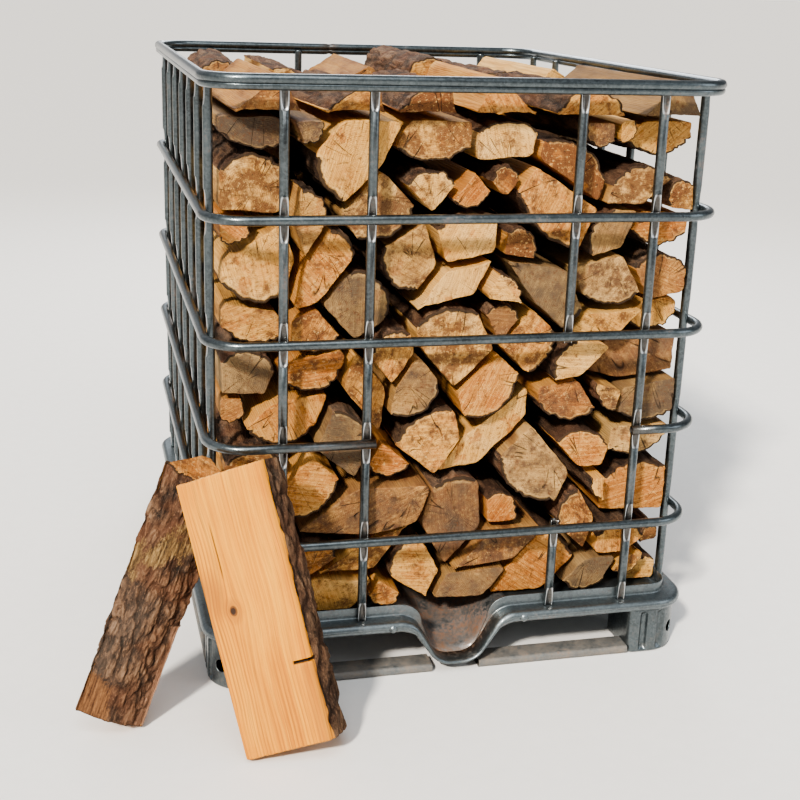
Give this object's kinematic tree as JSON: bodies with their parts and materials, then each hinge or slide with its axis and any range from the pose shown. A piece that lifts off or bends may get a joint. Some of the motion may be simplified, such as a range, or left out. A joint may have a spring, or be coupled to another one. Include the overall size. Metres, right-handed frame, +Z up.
{
  "type": "firewood crate",
  "caption": "Open-topped welded tube cage on a pressed steel pallet, filled with split firewood, with a hatch cut in its front and big logs leaning on it.",
  "frame": {"origin": "on the floor under the middle of the pallet, on the sole of the centre foot", "axes": "+Z up, +Y to the back, so the dipped front with its hatch faces -Y; +X right as seen from the front"},
  "size_m": [1.2455, 1.4634, 1.1629],
  "materials": {
    "galvanised_tube": "weathered zinc",
    "galvanised_sheet": "weathered zinc",
    "rusted_sheet": "dirty and rust stained",
    "split_wood": "raw split hardwood with bark"
  },
  "bodies": {
    "crate": {"back_foot": "galvanised_sheet", "back_skids": "galvanised_sheet", "back_upright_1": "galvanised_tube", "back_upright_2": "galvanised_tube", "back_upright_3": "galvanised_tube", "back_upright_4": "galvanised_tube", "centre_foot": "galvanised_sheet", "centre_skids": "galvanised_sheet", "corner_foot_back_left": "galvanised_sheet", "corner_foot_back_right": "galvanised_sheet", "corner_foot_front_left": "galvanised_sheet", "corner_foot_front_right": "galvanised_sheet", "deck_plate": "galvanised_sheet", "drain_trough": "rusted_sheet", "firewood_back_high": "split_wood", "firewood_back_low": "split_wood", "firewood_back_middle": "split_wood", "firewood_front_high": "split_wood", "firewood_front_low": "split_wood", "firewood_front_middle": "split_wood", "firewood_top": "split_wood", "front_skids": "galvanised_sheet", "front_upright_1": "galvanised_tube", "front_upright_2": "galvanised_tube", "front_upright_3_lower": "galvanised_tube", "front_upright_3_upper": "galvanised_tube", "front_upright_4": "galvanised_tube", "hatch_ring": "galvanised_tube", "left_skids": "galvanised_sheet", "left_upright_1": "galvanised_tube", "left_upright_2": "galvanised_tube", "left_upright_3": "galvanised_tube", "left_upright_4": "galvanised_tube", "left_upright_5": "galvanised_tube", "left_upright_6": "galvanised_tube", "left_upright_7": "galvanised_tube", "lower_ring": "galvanised_tube", "middle_ring": "galvanised_tube", "pallet_rim": "galvanised_sheet", "right_skids": "galvanised_sheet", "right_upright_1": "galvanised_tube", "right_upright_2": "galvanised_tube", "right_upright_3": "galvanised_tube", "right_upright_4": "galvanised_tube", "right_upright_5": "galvanised_tube", "right_upright_6": "galvanised_tube", "right_upright_7": "galvanised_tube", "side_foot_left": "galvanised_sheet", "side_foot_right": "galvanised_sheet", "top_rail": "galvanised_tube", "trough_rivets": "galvanised_sheet", "upper_ring": "galvanised_tube"},
    "loose_log_1": {"loose_log_1": "split_wood"},
    "loose_log_2": {"loose_log_2": "split_wood"},
    "loose_log_3": {"loose_log_3": "split_wood"},
    "loose_log_4": {"loose_log_4": "split_wood"},
    "leaning_log_front": {"leaning_log_front": "split_wood"},
    "leaning_log_left": {"leaning_log_left": "split_wood"}
  },
  "joints": [
    {"name": "loose_log_1_lift", "type": "slide", "parent": "crate", "child": "loose_log_1", "axis": [0, 0, 1], "range_m": [0, 0.3]},
    {"name": "loose_log_2_lift", "type": "slide", "parent": "crate", "child": "loose_log_2", "axis": [0, 0, 1], "range_m": [0, 0.3]},
    {"name": "loose_log_3_lift", "type": "slide", "parent": "crate", "child": "loose_log_3", "axis": [0, 0, 1], "range_m": [0, 0.3]},
    {"name": "loose_log_4_lift", "type": "slide", "parent": "crate", "child": "loose_log_4", "axis": [0, 0, 1], "range_m": [0, 0.3]},
    {"name": "leaning_log_front_lift", "type": "slide", "parent": "crate", "child": "leaning_log_front", "axis": [0, -0.6, 0.8], "range_m": [0, 0.6]},
    {"name": "leaning_log_left_lift", "type": "slide", "parent": "crate", "child": "leaning_log_left", "axis": [-0.8, 0, 0.6], "range_m": [0, 0.6]}
  ]
}
